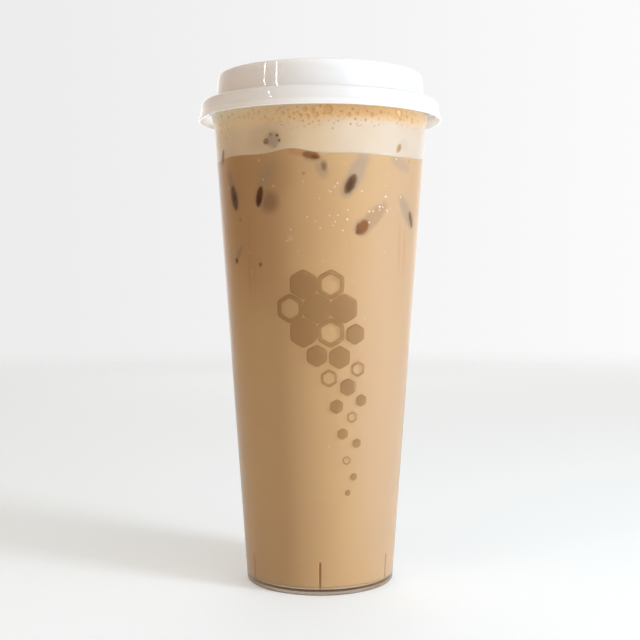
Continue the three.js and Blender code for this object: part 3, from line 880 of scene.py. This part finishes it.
def ink_finish():
    """See-through tan ink: it darkens what lies behind it, a little more along its edge."""
    finish = Finish("print_ink", **{"Base Color": (0.36, 0.22, 0.11, 1), "Roughness": 0.3})
    edge = finish.attribute("edge")
    shade = finish.noise(300, 2).between(0.3, 0.7)
    tint = finish.mix(edge * 0.8, (0.905, 0.875, 0.84, 1), (0.80, 0.75, 0.69, 1))
    through = finish.node("ShaderNodeBsdfTransparent", {}, {"Color": tint})
    solid = shade * 0.03 + 0.05
    finish.show(finish.node("ShaderNodeMixShader", {}, {0: solid, 1: through, 2: finish.shader}))
    return finish.material


def tile_points(across, height, size, hollow):
    """One six-sided tile laid on the cup. At angle t its edge is at its size times 0.9 times the sum over
    three sides of |cos(t - side)| to the power 12, to the power -1/12. Share s runs out to that edge
    from the middle, or from the ring's inner edge."""
    t = (np.arange(TILE_COLUMNS) * 2 * np.pi / TILE_COLUMNS)[None, :]
    sides = np.array([0, 60, 120])[:, None, None]
    edge = np.sum(abs(np.cos(t - np.radians(sides))) ** 12, axis=0) ** (-1 / 12) * size * MM * 0.9
    start = 0.66 if hollow else 0.0
    share = np.linspace(start, 1, TILE_RINGS)[:, None]
    x = across * MM + edge * share * np.cos(t)
    z = height * MM + edge * share * np.sin(t)
    return x, z, share * np.ones_like(t), edge * (1 - share)


def rounded(inset):
    """The rise of the ink's face, 0 to 1, at a distance in from its edge."""
    return np.sqrt(smoothstep(0, INK_ROUND, inset + INK_LEAST))


def tile_lines(x, z, inset):
    """Where a tile's ink is darker: along its edge, and on a fine line inside it round its upper left."""
    upper_left = np.cos(np.arctan2(z, x) - 2.4) > -0.2
    inner = (1 - smoothstep(0, LINE_WIDTH, abs(inset - LINE_INSET))) * upper_left
    return np.maximum(inner, 1 - smoothstep(0, EDGE_WIDTH, inset))


def build_print():
    """All tiles as one mesh: a ring of ink closes on itself, and a full tile closes at its middle."""
    points, faces, edges, first = [], [], [], 0
    for across, height, size, hollow in TILES:
        x, z, share, inset = tile_points(across, height, size, hollow)
        rise = INK_THICKNESS * rounded(inset)
        if hollow:
            rise = rise * rounded((share - share[:1]) * size * MM)
        angle = x / outer_radius(height * MM)
        skin = turn(outer_radius(z) + INK_FRONT + rise, z, angle)
        back = turn(outer_radius(z) + INK_BACK, z, angle)
        line_at = tile_lines(x - across * MM, z - height * MM, inset)
        inner = 0 if hollow else 1
        grid = np.concatenate([skin[inner:], back[inner:][::-1]])
        marks = np.concatenate([line_at[inner:], line_at[inner:][::-1]])
        at = first + np.arange(marks.size).reshape(marks.shape)
        if hollow:
            at = np.concatenate([at, at[:1]])
        after = np.roll(at, -1, axis=1)
        faces.append(np.stack([at[:-1], at[1:], after[1:], after[:-1]], -1).reshape(-1, 4))
        points.append(grid.reshape(-1, 3))
        edges.append(marks.ravel())
        first += marks.size
        if not hollow:
            faces += [fan(first, at[0]), fan(first + 1, at[-1])[:, ::-1]]
            points.append(np.stack([skin[0, 0], back[0, 0]]))
            edges.append(np.zeros(2))
            first += 2
    piece = make_piece("print_tiles", np.concatenate(points), faces, ink_finish(), "print_ink")
    piece.data.attributes.new("edge", "FLOAT", "POINT").data.foreach_set("value", np.concatenate(edges))
    return piece


build_print()

# Studio
# The photograph's camera, a pale floor that fades into a pale backdrop, a large window light on the
# right, two narrow slits of light and a warm, dim room on the left. The camera's place is in metres, its
# dip below level in degrees, and its lens and film in millimetres.
CAMERA_PLACE, CAMERA_DIP = (0, -0.43133, 0.11979), 2.155
LENS, FILM = 60.35, 36
camera = bpy.data.objects.new("camera", bpy.data.cameras.new("camera"))
bpy.context.scene.collection.objects.link(camera)
camera.location = CAMERA_PLACE
camera.rotation_euler = (np.radians(90 - CAMERA_DIP), 0, 0)
camera.data.lens = LENS
camera.data.sensor_width = FILM
camera.data.clip_start = 0.01
bpy.context.scene.camera = camera
bpy.context.scene.view_settings.view_transform = "Standard"

LAMP_DISTANCE, LAMP_AIM = 1.0, (0, 0, 0.1)
# Azimuth (0 is the camera's side, 90 is +X) and elevation in degrees, width and height in metres,
# radiance, colour, and whether gloss shows the lamp. The faint lamp behind the cup evens out how often
# the renderer picks a lamp: without it, a sharp band shows down the cup's back.
LAMPS = {
    "window_left_pane": (41.5, 14, 0.40, 0.80, 1.2, (1, 1, 1), True),
    "window_right_pane": (66.5, 14, 0.43, 0.80, 1.2, (1, 1, 1), True),
    "window_key": (60, 24, 0.22, 0.30, 29.1, (0.721, 0.859, 1.0), False),
    "slit_tall": (-48.4, 29, 0.005, 0.26, 110.0, (1, 1, 1), True),
    "slit_short": (-62.9, 27, 0.004, 0.10, 110.0, (1, 1, 1), True),
    "room_left": (-55, 18, 0.40, 0.40, 0.45, (1.0, 0.75, 0.50), False),
    "room_back": (180, 18, 0.40, 0.40, 0.85, (1, 1, 1), False),
}


def add_lamp(name, azimuth, elevation, width, tall, radiance, colour, glossy):
    """A soft rectangular lamp that faces the cup: its power is pi times its area times its radiance."""
    light = bpy.data.lights.new(name, "AREA")
    light.shape = "RECTANGLE"
    light.size, light.size_y = width, tall
    light.energy = radiance * np.pi * width * tall
    light.color = colour
    placed = bpy.data.objects.new(name, light)
    bpy.context.scene.collection.objects.link(placed)
    a, e = np.radians(azimuth), np.radians(elevation)
    back = np.array([np.sin(a) * np.cos(e), -np.cos(a) * np.cos(e), np.sin(e)])
    placed.location = back * LAMP_DISTANCE + np.array(LAMP_AIM)
    placed.rotation_mode = "XYZ"
    placed.rotation_euler = (np.radians(90 - elevation), 0, a)
    placed.visible_camera = False
    placed.visible_glossy = glossy


for lamp_name, lamp_row in LAMPS.items():
    add_lamp(lamp_name, *lamp_row)


FLOOR_RADIUS, FLOOR_RINGS, FLOOR_COLUMNS = 1.6, 40, 96
FLOOR_DROP = 0.2 * MM
FADE_START, FADE_END = 0.45, 1.5


def build_floor():
    """A flat round floor whose outer part fades into the backdrop, so that no horizon shows."""
    radius = np.linspace(0, FLOOR_RADIUS, FLOOR_RINGS)[:, None]
    angle = (np.arange(FLOOR_COLUMNS) * 2 * np.pi / FLOOR_COLUMNS)[None, :]
    grid = turn(radius, 0 * radius * angle, angle)
    mesh = bpy.data.meshes.new("floor")
    faces = ring_faces(FLOOR_RINGS, FLOOR_COLUMNS)[:, ::-1]
    mesh.from_pydata(grid.reshape(-1, 3).tolist(), [], faces.tolist())
    floor = bpy.data.objects.new("floor", mesh)
    bpy.context.scene.collection.objects.link(floor)
    floor.location = (0, 0, -FLOOR_DROP)
    finish = Finish("floor", **{
        "Base Color": (0.8, 0.8, 0.8, 1), "Roughness": 0.8, "Emission Color": (0.854, 0.953, 1, 1),
        "Emission Strength": 0.289,
    })
    place = finish.node("ShaderNodeTexCoord", {}, {}, "Object")
    far = finish.node("ShaderNodeVectorMath", {"operation": "LENGTH"}, {0: place}, "Value")
    below = finish.node("ShaderNodeNewGeometry", {}, {}, "Backfacing")
    gone = far.between(FADE_START, FADE_END).math("MAXIMUM", below)
    clear = finish.node("ShaderNodeBsdfTransparent", {}, {})
    finish.show(finish.node("ShaderNodeMixShader", {}, {0: gone, 1: finish.shader, 2: clear}))
    mesh.materials.append(finish.material)


build_floor()

# What the room sends from each side: azimuth in degrees, or None for overhead, and its colour.
ROOM_LOBES = [
    (-135, (0.073, 0.019, 0.0)), (-90, (0.107, 0.0, 0.0)), (-45, (0.346, 0.163, 0.0)),
    (0, (0.465, 0.425, 0.355)), (45, (0.693, 0.814, 0.930)), (90, (0.0, 0.004, 0.066)),
    (135, (0.0, 0.020, 0.061)), (180, (1.546, 1.548, 1.545)), (None, (0.480, 0.428, 0.334)),
]
SEEN_LEFT, SEEN_RIGHT = (0.83, 0.83, 0.83, 1), (0.97, 0.97, 0.97, 1)


def build_room():
    """The backdrop that the camera sees is pale, darker on the left and lighter on the right: painted
    light.
    What lights the cup is a room: soft lobes of light round the horizon, each one a power of the cosine
    of the angle from its middle, and overhead."""
    world = bpy.data.worlds.new("room")
    bpy.context.scene.world = world
    world.use_nodes = True
    room = Nodes(world.node_tree, "ShaderNodeOutputWorld")
    way = room.node("ShaderNodeTexCoord", {}, {}, "Generated")
    colour = (0, 0, 0, 1)
    for azimuth, light in ROOM_LOBES:
        a = np.radians(azimuth or 0)
        middle = (0, 0, 1) if azimuth is None else (np.sin(a), -np.cos(a), 0)
        settings = {"operation": "DOT_PRODUCT"}
        toward = room.node("ShaderNodeVectorMath", settings, {0: way, 1: middle}, "Value")
        lobe = toward.math("MAXIMUM", 0.0) ** (2.0 if azimuth is None else 3.0)
        colour = room.mix(lobe, colour, (*light, 1), "ADD")
    across = room.node("ShaderNodeSeparateXYZ", {}, {0: way}, "X")
    # Painted light: the backdrop is darker on the left and lighter on the right.
    seen = room.mix(across.between(-0.45, 0.45), SEEN_LEFT, SEEN_RIGHT)
    camera_ray = room.node("ShaderNodeLightPath", {}, {}, "Is Camera Ray")
    room.show(room.node("ShaderNodeBackground", {}, {"Color": room.mix(camera_ray, colour, seen)}))


build_room()
